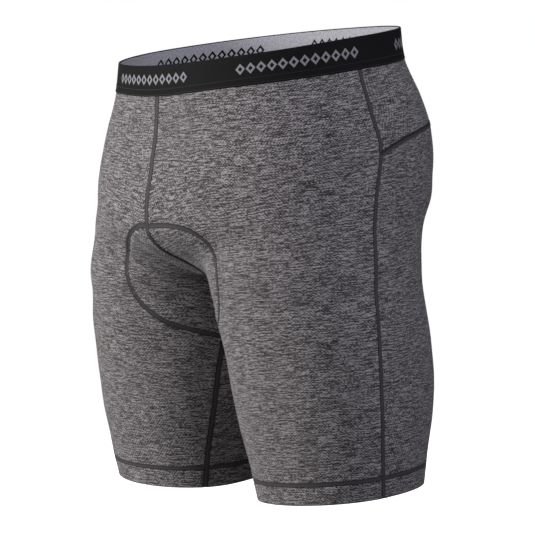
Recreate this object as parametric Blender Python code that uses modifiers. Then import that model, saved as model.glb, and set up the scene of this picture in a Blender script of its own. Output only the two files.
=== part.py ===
"""Cycling shorts, filled out as worn: a hollow garment of six sewn pieces.

Run with: blender --background --python part.py

Metres, +Z up. The wearer faces -Y, and the wearer's left is +X. The origin is the centre of the waist
opening, at mid-height of the waistband.

The cloth is one smooth surface. It is the soft union of three ovals at each level: a torso oval and an
oval round each leg. The levels are tilted planes, because the waist is cut lower in front than behind
and each hem rises a little at its back and outer side. The seams are lines on that surface, and each
piece is a wall of cloth between its seams.
"""

from collections import namedtuple

import bpy
import numpy as np

# Cloth and seams
CLOTH_THICKNESS = 0.0012
HEM_THICKNESS = 0.0020
HEM_HEIGHT = 0.019
BAND_THICKNESS = 0.0020
BAND_PROUD = 0.0008
SEAM_GAP = 0.0003

# Heights, as levels of the tilted planes
BAND_HEIGHT = 0.030
BAND_TOP = BAND_HEIGHT / 2
BAND_BOTTOM = BAND_TOP - BAND_HEIGHT
HEM_LEVEL = -0.4003
HEM_FOLD_LEVEL = HEM_LEVEL + HEM_HEIGHT
YOKE_LEVEL_AT_SIDE = -0.0922
YOKE_LEVEL_AT_BACK = -0.0760
YOKE_BEND = 4.6

# How widely the torso and leg ovals melt into each other, and where the torso ends
BLEND = 0.010
TORSO_END = -0.195
TORSO_FADE = 5.0

# Half of the torso seen from above. Squareness 2 is an ellipse, and more is boxier.
TorsoRow = namedtuple("TorsoRow", "level half_width front back front_square back_square")
TORSO = (
    TorsoRow(0.020, 0.1480, 0.1170, 0.1105, 2.20, 2.20),
    TorsoRow(-0.015, 0.1525, 0.1180, 0.1135, 2.25, 2.25),
    TorsoRow(-0.050, 0.1650, 0.1200, 0.1262, 2.35, 2.35),
    TorsoRow(-0.085, 0.1735, 0.1250, 0.1350, 2.35, 2.40),
    TorsoRow(-0.120, 0.1733, 0.1300, 0.1358, 2.20, 2.40),
    TorsoRow(-0.150, 0.1650, 0.1250, 0.1315, 2.10, 2.35),
    TorsoRow(-0.165, 0.1460, 0.1105, 0.1260, 2.10, 2.20),
    TorsoRow(-0.180, 0.1160, 0.0840, 0.1130, 2.10, 2.10),
    TorsoRow(-0.195, 0.0820, 0.0560, 0.0880, 2.00, 2.00),
    TorsoRow(-0.210, 0.0450, 0.0350, 0.0500, 2.00, 2.00),
    TorsoRow(-0.225, 0.0150, 0.0150, 0.0150, 2.00, 2.00),
)

# The left leg seen from above: its centre, and its reach sideways, to the front and to the back
LegRow = namedtuple("LegRow", "level centre_x centre_y half_width front back")
LEG = (
    LegRow(0.020, 0.070, -0.010, 0.0300, 0.0300, 0.0500),
    LegRow(-0.050, 0.078, -0.012, 0.0500, 0.0500, 0.0700),
    LegRow(-0.100, 0.086, -0.014, 0.0760, 0.0720, 0.0960),
    LegRow(-0.150, 0.092, -0.016, 0.0890, 0.0880, 0.1135),
    LegRow(-0.190, 0.096, -0.018, 0.0935, 0.0900, 0.1108),
    LegRow(-0.212, 0.099, -0.018, 0.0922, 0.0858, 0.1090),
    LegRow(-0.240, 0.103, -0.018, 0.0925, 0.0815, 0.1115),
    LegRow(-0.280, 0.107, -0.016, 0.0905, 0.0755, 0.1150),
    LegRow(-0.330, 0.110, -0.012, 0.0870, 0.0700, 0.1105),
    LegRow(-0.360, 0.112, -0.010, 0.0825, 0.0640, 0.1025),
    LegRow(-0.410, 0.113, -0.006, 0.0760, 0.0552, 0.0915),
)

# Rise of a level for each metre towards the back, and for each metre outwards from a leg's centre
TiltRow = namedtuple("TiltRow", "level to_back outwards")
TILT = (
    TiltRow(0.020, 0.166, 0.000),
    TiltRow(-0.050, 0.163, 0.000),
    TiltRow(-0.120, 0.145, 0.000),
    TiltRow(-0.200, 0.110, 0.000),
    TiltRow(-0.300, 0.080, 0.025),
    TiltRow(-0.410, 0.100, 0.050),
)

# How far a level dips at the front middle, and how far that reaches to each side
DipRow = namedtuple("DipRow", "level depth reach")
DIP = (
    DipRow(0.020, 0.0050, 0.128),
    DipRow(-0.015, 0.0034, 0.060),
    DipRow(-0.060, 0.0010, 0.050),
    DipRow(-0.100, 0.0000, 0.050),
    DipRow(-0.410, 0.0000, 0.050),
)
DIP_FADE = 0.080

# The side seam's angle round the leg's centre, in degrees forward of straight out
SideRow = namedtuple("SideRow", "level forward")
SIDE_SEAM = (
    SideRow(0.020, -5.3),
    SideRow(-0.050, -6.6),
    SideRow(-0.088, -10.0),
    SideRow(-0.112, -7.6),
    SideRow(-0.135, -4.4),
    SideRow(-0.180, -2.1),
    SideRow(-0.280, 0.2),
    SideRow(-0.330, 1.0),
    SideRow(-0.380, 0.2),
    SideRow(-0.410, -0.6),
)
# The inseam's angle at the hem, in degrees forward of straight in, and how fast it gets there
INSEAM_FORWARD_AT_HEM = 20.0
INSEAM_BEND = 0.6

# The angles between which the columns are spread evenly, which pass the crotch without a jump
SpreadRow = namedtuple("SpreadRow", "level front back")
SPREAD = (
    SpreadRow(0.020, 57.0, 300.0),
    SpreadRow(-0.100, 53.0, 300.0),
    SpreadRow(-0.140, 51.0, 301.0),
    SpreadRow(-0.170, 45.0, 305.0),
    SpreadRow(-0.200, 36.0, 315.0),
    SpreadRow(-0.240, 28.0, 333.0),
    SpreadRow(-0.300, 22.0, 355.0),
    SpreadRow(-0.410, 20.0, 380.0),
)
# How fast the columns leave a middle edge that is off those angles
EDGE_FADE = 4

# Mesh density: columns across each half piece, rows of levels
FRONT_COLUMNS = 17
BACK_COLUMNS = 16
COLUMN_CROWDING = 1.25
YOKE_ROWS = 7
ROWS_ABOVE_CROTCH = 14
ROWS_BELOW_CROTCH = 13
ROW_CROWDING = 2.0

# Colours in linear values
JERSEY_COLOUR = (0.144, 0.138, 0.144, 1.0)
BAND_COLOUR = (0.014, 0.014, 0.015, 1.0)

ROOT_STEPS = 44
SLOPE_STEP = 0.0002


def look_up(table, level):
    """Return the table's columns at a level, on a smooth curve through its rows."""
    rows = np.array(table)[::-1]
    levels = rows[:, 0]
    values = rows[:, 1:]
    slopes = np.gradient(values, levels, axis=0)
    level = np.clip(np.asarray(level, dtype=float), levels[0], levels[-1])
    below = np.clip(np.searchsorted(levels, level) - 1, 0, len(levels) - 2)
    span = (levels[below + 1] - levels[below])[..., None]
    t = (level - levels[below])[..., None] / span
    start = (2 * t**3 - 3 * t**2 + 1) * values[below]
    start_slope = (t**3 - 2 * t**2 + t) * span * slopes[below]
    end = (3 * t**2 - 2 * t**3) * values[below + 1]
    end_slope = (t**3 - t**2) * span * slopes[below + 1]
    return start + start_slope + end + end_slope


def distance_to_oval(x, y, half_width, front, back, front_square=2.0, back_square=2.0):
    """Return how far a point is outside an oval, roughly, and less than zero inside it."""
    depth = np.where(y < 0, front, back)
    square = np.where(y < 0, front_square, back_square)
    from_centre = np.hypot(x, y) + 1e-9
    ratio = (np.abs(x / half_width) ** square + np.abs(y / depth) ** square + 1e-12) ** (1 / square)
    return from_centre * (1 - 1 / ratio)


def distance_to_cloth(x, y, level):
    """Return how far a point of a level's plane is outside the garment's outer surface, roughly."""
    torso = np.moveaxis(look_up(TORSO, level), -1, 0)
    centre_x, centre_y, half_width, front, back = np.moveaxis(look_up(LEG, level), -1, 0)
    to_torso = distance_to_oval(x, y, *torso) + TORSO_FADE * np.maximum(0.0, TORSO_END - level)
    nearness = np.exp(-to_torso / BLEND)
    for side in (1, -1):
        to_leg = distance_to_oval(x - side * centre_x, y - centre_y, half_width, front, back)
        nearness = nearness + np.exp(-to_leg / BLEND)
    return -BLEND * np.log(nearness)


def crossing(inside, outside, is_outside):
    """Return where is_outside turns true between two values, by halving."""
    for _ in range(ROOT_STEPS):
        middle = (inside + outside) / 2
        out = is_outside(middle)
        inside, outside = np.where(out, inside, middle), np.where(out, middle, outside)
    return (inside + outside) / 2


def find_crotch():
    """Return the fore-and-aft place and the level of the lowest point between the legs."""
    across = np.linspace(-0.05, 0.05, 401)
    level = crossing(
        np.array(TORSO_END + 0.05),
        np.array(TORSO_END - 0.05),
        lambda tried: distance_to_cloth(0.0, across, np.full_like(across, tried)).min() > 0,
    )
    place = across[distance_to_cloth(0.0, across, np.full_like(across, level)).argmin()]
    return float(place), float(level)


CROTCH_Y, CROTCH_LEVEL = find_crotch()


def middle_edge(level, way):
    """Return y where the cloth meets the middle seam, in front (way -1) or behind (way 1)."""
    beside = SEAM_GAP / 2
    reach = crossing(
        np.zeros(np.shape(level)),
        np.full(np.shape(level), 0.2),
        lambda tried: distance_to_cloth(beside, CROTCH_Y + way * tried, level) > 0,
    )
    return CROTCH_Y + way * reach


def seam_angles(level):
    """Return the angles of a half's front edge, side seam and back edge round the leg's centre.

    Angle 0 looks straight in to the middle, 90 degrees to the front and 180 degrees outwards. Above
    the crotch the front and back edges lie on the middle seam. Below it both lie on the inseam.
    """
    level = np.asarray(level, dtype=float)
    centre_x, centre_y = np.moveaxis(look_up(LEG, level)[..., :2], -1, 0)
    side = np.pi - np.radians(look_up(SIDE_SEAM, level)[..., 0])

    from_centre = centre_x - SEAM_GAP / 2
    front_middle = np.arctan2(centre_y - middle_edge(level, -1), from_centre)
    back_middle = 2 * np.pi - np.arctan2(middle_edge(level, 1) - centre_y, from_centre)

    crotch_centre = look_up(LEG, CROTCH_LEVEL)
    at_crotch = np.arctan2(crotch_centre[1] - CROTCH_Y, crotch_centre[0])
    way_down = np.clip((CROTCH_LEVEL - level) / (CROTCH_LEVEL - HEM_LEVEL), 0, 1)
    at_hem = np.radians(INSEAM_FORWARD_AT_HEM)
    inseam = at_crotch + (at_hem - at_crotch) * way_down**INSEAM_BEND
    half_gap = SEAM_GAP / 2 / look_up(LEG, level)[..., 2]

    above = level > CROTCH_LEVEL + 1e-6
    front = np.where(above, front_middle, inseam + half_gap)
    back = np.where(above, back_middle, inseam + 2 * np.pi - half_gap)
    return front, side, back


def surface(angle, level):
    """Return points of the left half's outer surface and their outward normals."""
    angle, level = np.broadcast_arrays(np.asarray(angle, float), np.asarray(level, float))
    centre_x, centre_y = np.moveaxis(look_up(LEG, level)[..., :2], -1, 0)
    way_x, way_y = -np.cos(angle), -np.sin(angle)
    to_middle = (centre_x - SEAM_GAP / 2) / np.maximum(-way_x, 1e-6)
    reach = crossing(
        np.zeros(angle.shape),
        np.minimum(0.25, to_middle),
        lambda tried: distance_to_cloth(centre_x + way_x * tried, centre_y + way_y * tried, level) > 0,
    )
    x, y = centre_x + way_x * reach, centre_y + way_y * reach
    return np.stack([x, y, height(x, y, level)], axis=-1), normal(x, y, level)


def height(x, y, level):
    """Return z of a point of the left half, given by its place on a level's tilted plane."""
    to_back, outwards = np.moveaxis(look_up(TILT, level), -1, 0)
    depth, reach = np.moveaxis(look_up(DIP, level), -1, 0)
    forward = np.clip(-y / DIP_FADE, 0, 1)
    dip = depth * np.exp(-((x / reach) ** 2)) * forward**2 * (3 - 2 * forward)
    return level + to_back * y + outwards * (x - look_up(LEG, level)[..., 0]) - dip


def slope(function, values, index):
    """Return the slope of a function of x, y and level along one of the three."""
    step = np.zeros(3)
    step[index] = SLOPE_STEP
    after = function(*(value + add for value, add in zip(values, step)))
    before = function(*(value - add for value, add in zip(values, step)))
    return (after - before) / (2 * SLOPE_STEP)


def normal(x, y, level):
    """Return the outward unit normals of the cloth at points of the left half."""
    place = (x, y, level)
    cloth = [slope(distance_to_cloth, place, index) for index in range(3)]
    rise = [slope(height, place, index) for index in range(3)]
    up = cloth[2] / rise[2]
    direction = np.stack([cloth[0] - up * rise[0], cloth[1] - up * rise[1], up], axis=-1)
    return direction / np.linalg.norm(direction, axis=-1, keepdims=True)


def yoke_level(share):
    """Return the level of the yoke seam at a share of the way from the side seam to the back."""
    rise = 1 - (1 - share) ** YOKE_BEND
    return YOKE_LEVEL_AT_SIDE + (YOKE_LEVEL_AT_BACK - YOKE_LEVEL_AT_SIDE) * rise


def yoke_rows(share):
    """Return levels from the waistband down to the yoke seam at shares of the way to the back."""
    top = BAND_BOTTOM - SEAM_GAP
    down = np.linspace(0, 1, YOKE_ROWS + 1)[:, None]
    return top + (yoke_level(share) + SEAM_GAP / 2 - top) * down


def seat_rows(top):
    """Return levels from a top level down to the crotch, closer together near the crotch."""
    down = np.linspace(1, 0, ROWS_ABOVE_CROTCH + 1) ** ROW_CROWDING
    return CROTCH_LEVEL + (top - CROTCH_LEVEL) * down[:, None]


def leg_rows():
    """Return levels from just below the crotch to the hem, with a step at the top of the hem's fold."""
    share = np.linspace(0, 1, ROWS_BELOW_CROTCH + 1)[1:] ** ROW_CROWDING
    rows = CROTCH_LEVEL + (HEM_FOLD_LEVEL + 0.012 - CROTCH_LEVEL) * share
    fold = (HEM_FOLD_LEVEL + 0.0005, HEM_FOLD_LEVEL, HEM_LEVEL)
    return np.concatenate([rows, fold])[:, None]


def front_half(level, share):
    """Return points and normals of the front, from the middle or inseam to the side seam."""
    edge, side, _ = seam_angles(level)
    side = side - SEAM_GAP / 2 / look_up(LEG, level)[..., 2]
    spread = np.radians(look_up(SPREAD, level)[..., 0])
    angle = side + (spread - side) * (1 - share) + (edge - spread) * (1 - share) ** EDGE_FADE
    return surface(angle, level)


def back_half(level, share):
    """Return points and normals of the back, from the side seam to the middle or inseam."""
    _, side, edge = seam_angles(level)
    side = side + SEAM_GAP / 2 / look_up(LEG, level)[..., 2]
    spread = np.radians(look_up(SPREAD, level)[..., 1])
    angle = side + (spread - side) * share + (edge - spread) * share**EDGE_FADE
    return surface(angle, level)


def front_shares():
    """Return the front's columns, closer together near the middle, where the cloth curves most."""
    return np.linspace(0, 1, FRONT_COLUMNS)[None, :] ** COLUMN_CROWDING


def back_shares():
    """Return the back's columns, closer together near the middle."""
    return 1 - np.linspace(1, 0, BACK_COLUMNS)[None, :] ** COLUMN_CROWDING


def cloth_material(name, colour, roughness):
    """Return a plain material of one colour."""
    material = bpy.data.materials.new(name)
    material.use_nodes = True
    material.diffuse_color = colour
    shader = material.node_tree.nodes["Principled BSDF"]
    shader.inputs["Base Color"].default_value = colour
    shader.inputs["Roughness"].default_value = roughness
    shader.inputs["Metallic"].default_value = 0.0
    return material


def turned_over(face):
    """Return a face that looks the other way and is still split across the same corners."""
    return [face[0], *face[:0:-1]]


def wall(name, outer, inner, side=1, open_start=False, open_end=False):
    """Return an object whose wall lies between two grids of points.

    A grid's rows go down and its columns go from the front to the back. The first or the last column
    stays open where a mirrored half joins it. Side -1 makes the mirror image of the whole piece.
    """
    rows, columns = outer.shape[:2]
    points = np.concatenate([outer.reshape(-1, 3), inner.reshape(-1, 3)]) * (side, 1, 1)

    def vertex(row, column, layer):
        return (layer * rows + row) * columns + column

    faces = []
    for row in range(rows - 1):
        for column in range(columns - 1):
            corners = ((row, column), (row + 1, column), (row + 1, column + 1), (row, column + 1))
            faces.append([vertex(*corner, 0) for corner in corners])
            faces.append(turned_over([vertex(*corner, 1) for corner in corners]))
    for column in range(columns - 1):
        for row, start, end in ((0, column, column + 1), (rows - 1, column + 1, column)):
            rim = [vertex(row, start, 0), vertex(row, end, 0), vertex(row, end, 1), vertex(row, start, 1)]
            faces.append(rim)
    for row in range(rows - 1):
        ends = [] if open_start else [(0, row + 1, row)]
        ends += [] if open_end else [(columns - 1, row, row + 1)]
        for column, start, end in ends:
            along = ((start, 0), (end, 0), (end, 1), (start, 1))
            faces.append([vertex(row_at, column, layer) for row_at, layer in along])
    if side < 0:
        faces = [turned_over(face) for face in faces]

    mesh = bpy.data.meshes.new(name)
    mesh.from_pydata([tuple(point) for point in points], [], faces)
    mesh.update()
    return bpy.data.objects.new(name, mesh)


def mirrored_to_whole(piece):
    """Add the piece's other half, joined at the middle plane."""
    mirror = piece.modifiers.new("other half", "MIRROR")
    mirror.merge_threshold = 0.0001
    mirror.use_clip = True
    return piece


def at_middle(points, column):
    """Put one column of a grid exactly on the middle plane, where the mirrored half joins."""
    points[:, column, 0] = 0.0
    return points


def make_waistband():
    """Return the elastic waistband, a closed ring a little proud of the cloth."""
    level = np.array([BAND_TOP, BAND_BOTTOM])[:, None]
    front, front_normal = front_half(level, front_shares())
    back, back_normal = back_half(level, back_shares())
    cloth = np.concatenate([front, back[:, 1:]], axis=1)
    outward = np.concatenate([front_normal, back_normal[:, 1:]], axis=1)
    outer = cloth + outward * BAND_PROUD
    inner = outer - outward * BAND_THICKNESS
    for grid in (outer, inner):
        at_middle(grid, 0)
        at_middle(grid, -1)
    return mirrored_to_whole(wall("waistband", outer, inner, open_start=True, open_end=True))


def make_yoke():
    """Return the back yoke, one piece from side seam to side seam below the waistband."""
    share = back_shares()
    outer, outward = back_half(yoke_rows(share), share)
    inner = outer - outward * CLOTH_THICKNESS
    at_middle(outer, -1)
    at_middle(inner, -1)
    return mirrored_to_whole(wall("yoke", outer, inner, open_end=True))


def thickness(level):
    """Return the wall's thickness at each level: the hem is turned up inside and is thicker."""
    return np.where(level <= HEM_FOLD_LEVEL + 1e-6, HEM_THICKNESS, CLOTH_THICKNESS)[..., None]


def make_front(name, side):
    """Return one front, from the middle seam to the side seam and down to the hem.

    Its rows meet those of the yoke and the back along the side seam, so that the edges run alike.
    """
    at_side = np.zeros(1)
    level = np.concatenate([yoke_rows(at_side)[:-1], seat_rows(yoke_level(at_side)), leg_rows()])
    outer, outward = front_half(level, front_shares())
    return wall(name, outer, outer - outward * thickness(level), side)


def make_back(name, side):
    """Return one back, from the side seam to the back seam, below the yoke and down to the hem."""
    share = back_shares()
    seat = seat_rows(yoke_level(share[0]) - SEAM_GAP / 2)
    legs = np.repeat(leg_rows(), BACK_COLUMNS, axis=1)
    level = np.concatenate([seat, legs])
    outer, outward = back_half(level, share)
    return wall(name, outer, outer - outward * thickness(level), side)


def clear_scene():
    """Remove the objects that Blender starts with."""
    for thing in list(bpy.data.objects):
        bpy.data.objects.remove(thing, do_unlink=True)


def main():
    clear_scene()
    collection = bpy.data.collections.new("cycling_shorts")
    bpy.context.scene.collection.children.link(collection)
    waist = bpy.data.objects.new("waist", None)
    waist.empty_display_size = 0.05
    collection.objects.link(waist)

    pieces = [
        (make_waistband(), BAND_COLOUR, 0.75),
        (make_yoke(), JERSEY_COLOUR, 0.9),
        (make_front("front_left", 1), JERSEY_COLOUR, 0.9),
        (make_front("front_right", -1), JERSEY_COLOUR, 0.9),
        (make_back("back_left", 1), JERSEY_COLOUR, 0.9),
        (make_back("back_right", -1), JERSEY_COLOUR, 0.9),
    ]
    for piece, colour, roughness in pieces:
        collection.objects.link(piece)
        piece.parent = waist
        piece.data.materials.append(cloth_material(f"{piece.name}_cloth", colour, roughness))
        piece.data.shade_smooth()
        piece.data.set_sharp_from_angle(angle=0.7)


main()
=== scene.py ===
"""Cycling shorts in heather jersey, with a woven waistband and flatlock sewing.

Run in Blender 4.5 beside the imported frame. Metres, +Z up. The wearer faces -Y, and the wearer's left
is +X. The origin is the centre of the waist opening, at mid-height of the waistband.

The file is laid out as a Blender add-on. The panel "Shorts" in the 3D view's sidebar lists one button
for each piece or group of pieces, and the sizes and colours that they are made with.
"""

from collections import namedtuple
from functools import lru_cache

import bpy
import numpy as np
from bpy.props import FloatProperty, FloatVectorProperty, IntProperty, PointerProperty
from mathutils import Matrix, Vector
from mathutils.kdtree import KDTree


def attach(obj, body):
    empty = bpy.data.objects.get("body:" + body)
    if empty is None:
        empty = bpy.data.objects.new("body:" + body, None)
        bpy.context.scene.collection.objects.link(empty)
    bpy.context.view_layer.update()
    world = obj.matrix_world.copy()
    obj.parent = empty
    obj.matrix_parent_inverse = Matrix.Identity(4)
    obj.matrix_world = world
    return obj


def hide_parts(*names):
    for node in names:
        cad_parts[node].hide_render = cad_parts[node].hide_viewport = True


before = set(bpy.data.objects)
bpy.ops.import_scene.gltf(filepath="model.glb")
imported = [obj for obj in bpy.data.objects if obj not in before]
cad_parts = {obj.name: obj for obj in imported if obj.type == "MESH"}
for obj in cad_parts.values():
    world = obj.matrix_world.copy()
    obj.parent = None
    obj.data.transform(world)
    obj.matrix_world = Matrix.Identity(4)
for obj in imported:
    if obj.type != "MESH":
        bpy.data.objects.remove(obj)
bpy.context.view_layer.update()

bl_info = {
    "name": "Cycling Shorts",
    "version": (1, 0, 0),
    "blender": (4, 5, 0),
    "location": "View3D > Sidebar > Shorts",
    "description": "Makes cycling shorts of heather jersey with flatlock sewing, and a studio for them",
    "category": "Mesh",
}

CLOTH_MAP = "cloth"
THREAD_MAP = "thread"

# The shape of the cloth, with the same values as the part's source
SEAM_GAP = 0.0003
BAND_TOP = 0.015
BAND_BOTTOM = -0.015
BAND_PROUD = 0.0008
HEM_LEVEL = -0.4003
YOKE_LEVEL_AT_SIDE = -0.0922
YOKE_LEVEL_AT_BACK = -0.0760
YOKE_BEND = 4.6
BLEND = 0.010
TORSO_END = -0.195
TORSO_FADE = 5.0
INSEAM_FORWARD_AT_HEM = 20.0
INSEAM_BEND = 0.6
EDGE_FADE = 4
ROOT_STEPS = 34
SLOPE_STEP = 0.0002

# How far the cloth is looked for: out from a leg's centre, from the crotch to the middle seam, and
# round the crotch itself, at how many places
LEG_SEARCH = 0.25
MIDDLE_SEARCH = 0.2
CROTCH_SEARCH = 0.05
CROTCH_TRIES = 401

# Half of the torso seen from above. Squareness 2 is an ellipse, and more is boxier.
TorsoRow = namedtuple("TorsoRow", "level half_width front back front_square back_square")
TORSO = (
    TorsoRow(0.020, 0.1480, 0.1170, 0.1105, 2.20, 2.20),
    TorsoRow(-0.015, 0.1525, 0.1180, 0.1135, 2.25, 2.25),
    TorsoRow(-0.050, 0.1650, 0.1200, 0.1262, 2.35, 2.35),
    TorsoRow(-0.085, 0.1735, 0.1250, 0.1350, 2.35, 2.40),
    TorsoRow(-0.120, 0.1733, 0.1300, 0.1358, 2.20, 2.40),
    TorsoRow(-0.150, 0.1650, 0.1250, 0.1315, 2.10, 2.35),
    TorsoRow(-0.165, 0.1460, 0.1105, 0.1260, 2.10, 2.20),
    TorsoRow(-0.180, 0.1160, 0.0840, 0.1130, 2.10, 2.10),
    TorsoRow(-0.195, 0.0820, 0.0560, 0.0880, 2.00, 2.00),
    TorsoRow(-0.210, 0.0450, 0.0350, 0.0500, 2.00, 2.00),
    TorsoRow(-0.225, 0.0150, 0.0150, 0.0150, 2.00, 2.00),
)

# The left leg seen from above: its centre, and its reach sideways, to the front and to the back
LegRow = namedtuple("LegRow", "level centre_x centre_y half_width front back")
LEG = (
    LegRow(0.020, 0.070, -0.010, 0.0300, 0.0300, 0.0500),
    LegRow(-0.050, 0.078, -0.012, 0.0500, 0.0500, 0.0700),
    LegRow(-0.100, 0.086, -0.014, 0.0760, 0.0720, 0.0960),
    LegRow(-0.150, 0.092, -0.016, 0.0890, 0.0880, 0.1135),
    LegRow(-0.190, 0.096, -0.018, 0.0935, 0.0900, 0.1108),
    LegRow(-0.212, 0.099, -0.018, 0.0922, 0.0858, 0.1090),
    LegRow(-0.240, 0.103, -0.018, 0.0925, 0.0815, 0.1115),
    LegRow(-0.280, 0.107, -0.016, 0.0905, 0.0755, 0.1150),
    LegRow(-0.330, 0.110, -0.012, 0.0870, 0.0700, 0.1105),
    LegRow(-0.360, 0.112, -0.010, 0.0825, 0.0640, 0.1025),
    LegRow(-0.410, 0.113, -0.006, 0.0760, 0.0552, 0.0915),
)

# Rise of a level for each metre towards the back, and for each metre outwards from a leg's centre
TiltRow = namedtuple("TiltRow", "level to_back outwards")
TILT = (
    TiltRow(0.020, 0.166, 0.000),
    TiltRow(-0.050, 0.163, 0.000),
    TiltRow(-0.120, 0.145, 0.000),
    TiltRow(-0.200, 0.110, 0.000),
    TiltRow(-0.300, 0.080, 0.025),
    TiltRow(-0.410, 0.100, 0.050),
)

# How far a level dips at the front middle, and how far that reaches to each side
DipRow = namedtuple("DipRow", "level depth reach")
DIP = (
    DipRow(0.020, 0.0050, 0.128),
    DipRow(-0.015, 0.0034, 0.060),
    DipRow(-0.060, 0.0010, 0.050),
    DipRow(-0.100, 0.0000, 0.050),
    DipRow(-0.410, 0.0000, 0.050),
)
DIP_FADE = 0.080

# The side seam's angle round the leg's centre, in degrees forward of straight out
SideRow = namedtuple("SideRow", "level forward")
SIDE_SEAM = (
    SideRow(0.020, -5.3),
    SideRow(-0.050, -6.6),
    SideRow(-0.088, -10.0),
    SideRow(-0.112, -7.6),
    SideRow(-0.135, -4.4),
    SideRow(-0.180, -2.1),
    SideRow(-0.280, 0.2),
    SideRow(-0.330, 1.0),
    SideRow(-0.380, 0.2),
    SideRow(-0.410, -0.6),
)

# The angles between which the columns are spread evenly, which pass the crotch without a jump
SpreadRow = namedtuple("SpreadRow", "level front back")
SPREAD = (
    SpreadRow(0.020, 57.0, 300.0),
    SpreadRow(-0.100, 53.0, 300.0),
    SpreadRow(-0.140, 51.0, 301.0),
    SpreadRow(-0.170, 45.0, 305.0),
    SpreadRow(-0.200, 36.0, 315.0),
    SpreadRow(-0.240, 28.0, 333.0),
    SpreadRow(-0.300, 22.0, 355.0),
    SpreadRow(-0.410, 20.0, 380.0),
)

# The pad's stitched outline on each half, from the front middle seam round to the back one: degrees
# round the leg's centre, from straight in towards the front, and a level. The halves differ in front,
# as they do in the picture.
PadRow = namedtuple("PadRow", "left_angle left_level right_angle right_level")
PAD_OUTLINE = (
    PadRow(51.6, -0.1398, 51.6, -0.1398),
    PadRow(56.0, -0.1388, 54.5, -0.1388),
    PadRow(64.0, -0.1394, 59.3, -0.1432),
    PadRow(71.2, -0.1430, 65.0, -0.1530),
    PadRow(76.0, -0.1522, 69.7, -0.1625),
    PadRow(77.3, -0.1650, 72.4, -0.1715),
    PadRow(77.0, -0.1790, 73.4, -0.1815),
    PadRow(74.6, -0.1965, 71.8, -0.1960),
    PadRow(68.5, -0.2145, 66.5, -0.2135),
    PadRow(58.0, -0.2300, 55.8, -0.2292),
    PadRow(45.0, -0.2405, 43.6, -0.2405),
    PadRow(29.0, -0.2495, 29.0, -0.2488),
    PadRow(12.0, -0.2565, 12.0, -0.2565),
    PadRow(-8.0, -0.2580, -8.0, -0.2580),
    PadRow(-28.0, -0.2510, -28.0, -0.2510),
    PadRow(-48.0, -0.2360, -48.0, -0.2360),
    PadRow(-64.0, -0.2150, -64.0, -0.2150),
    PadRow(-73.0, -0.1930, -73.0, -0.1930),
    PadRow(-75.5, -0.1730, -75.5, -0.1730),
    PadRow(-72.5, -0.1570, -72.5, -0.1570),
    PadRow(-66.0, -0.1490, -66.0, -0.1490),
    PadRow(-60.0, -0.1465, -60.0, -0.1465),
    PadRow(-56.8, -0.1460, -56.8, -0.1460),
)

# Mesh density of what the viewer sees
FRONT_COLUMNS = 92
BACK_COLUMNS = 88
EDGE_CROWDING = 0.075
ROWS_ABOVE_CROTCH = 118
ROWS_BELOW_CROTCH = 92
HEM_ROWS = 9
YOKE_ROWS = 40
ROW_CROWDING = 1.7
FOLD_ROWS = 6
BAND_ROWS = 16

# The ruffles beside a seam, which start a little off it and whose length drifts along it. Each line
# is shifted, so that two lines' ruffles don't run in step. The relief looks for lines at 1 mm steps.
PUCKER_HEIGHT = 0.00022
PUCKER_LENGTH = 0.0085
PUCKER_REACH = 0.0050
PUCKER_START = 0.0015
PUCKER_DRIFT = 1.4
PUCKER_DRIFT_LENGTH = 0.043
LINE_SHIFT = 0.37
RELIEF_STEP = 0.001

# The sunk seam, and the low swell of cloth beside it
SEAM_SINK = 0.00035
SINK_REACH = 0.0021
SWELL_HEIGHT = 0.8 * PUCKER_HEIGHT
SWELL_PLACE = 0.0045
SWELL_REACH = 0.0022

# The pad under the cloth, which rises from its outline and never reaches far from it
PAD_LIFT = 0.0012
PAD_EDGE = 0.0070
PAD_REACH = 0.13
PAD_FADE = 0.02

# Faint pull lines: rays that fan out from the crotch, and slanting waves away from it. The rays turn
# with the way up from the crotch, with y and with x, and the waves slant with x and y.
PULL_HEIGHT = 0.00035
RAY_SHARE = 0.9
RAY_TURNS = (15, 40, 9)
RAY_CENTRE = 0.012
RAY_PLACE = 0.085
RAY_REACH = 0.045
DRAPE_SHARE = 0.45
DRAPE_LENGTH = 0.047
DRAPE_SLANT = (0.35, 0.2)
DRAPE_DRIFT = 2.2
DRAPE_DRIFT_TURNS = (21, 13)
DRAPE_START = 0.05
DRAPE_FADE = 0.1

# Rough points along the sewn lines, before they are set at even steps. Those of the inseam start a
# little below the crotch and are closer together there.
SEAM_POINTS = 160
SIDE_POINTS = 220
HEM_POINTS = 300
PAD_POINTS = 320
INSEAM_START = 0.0002
INSEAM_CROWDING = 1.5

# The pad's outline: metres for a degree round the leg, and how sharply its ends turn to the middle
PAD_DEGREE = 0.0016
PAD_TURN_IN = 12

# Rows over the hem's stitches: the last of the leg's even rows, the last of single cloth, and the
# first where the turned hem makes it double. The hem is folded round half of its thickness.
LEG_END_ROW = 0.0022
SINGLE_ROW = 0.0016
DOUBLE_ROW = 0.0012
FOLD_RADIUS = 0.001

# How the courses droop at the middle seam: how far, how far aside, and between which levels
DROOP = 0.024
DROOP_REACH = 0.085
DROOP_TOP = -0.055
DROOP_TOP_FADE = 0.1
DROOP_END = -0.37
DROOP_END_FADE = 0.12

# Where the cloth of each side lies along the courses, so that the two sides' streaks differ
LEFT_CLOTH = 0.9
RIGHT_CLOTH = 2.3

# A row of sewing: from where across it its edge is toothed, how much its ridges and its loops rise
# and fall, and how deep its edges go into the cloth
TOOTHED_FROM = 0.9
RIDGE_DEPTH = 0.58
LOOP_DEPTH = 0.28
RIBBON_ROOT = 0.0006

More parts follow.
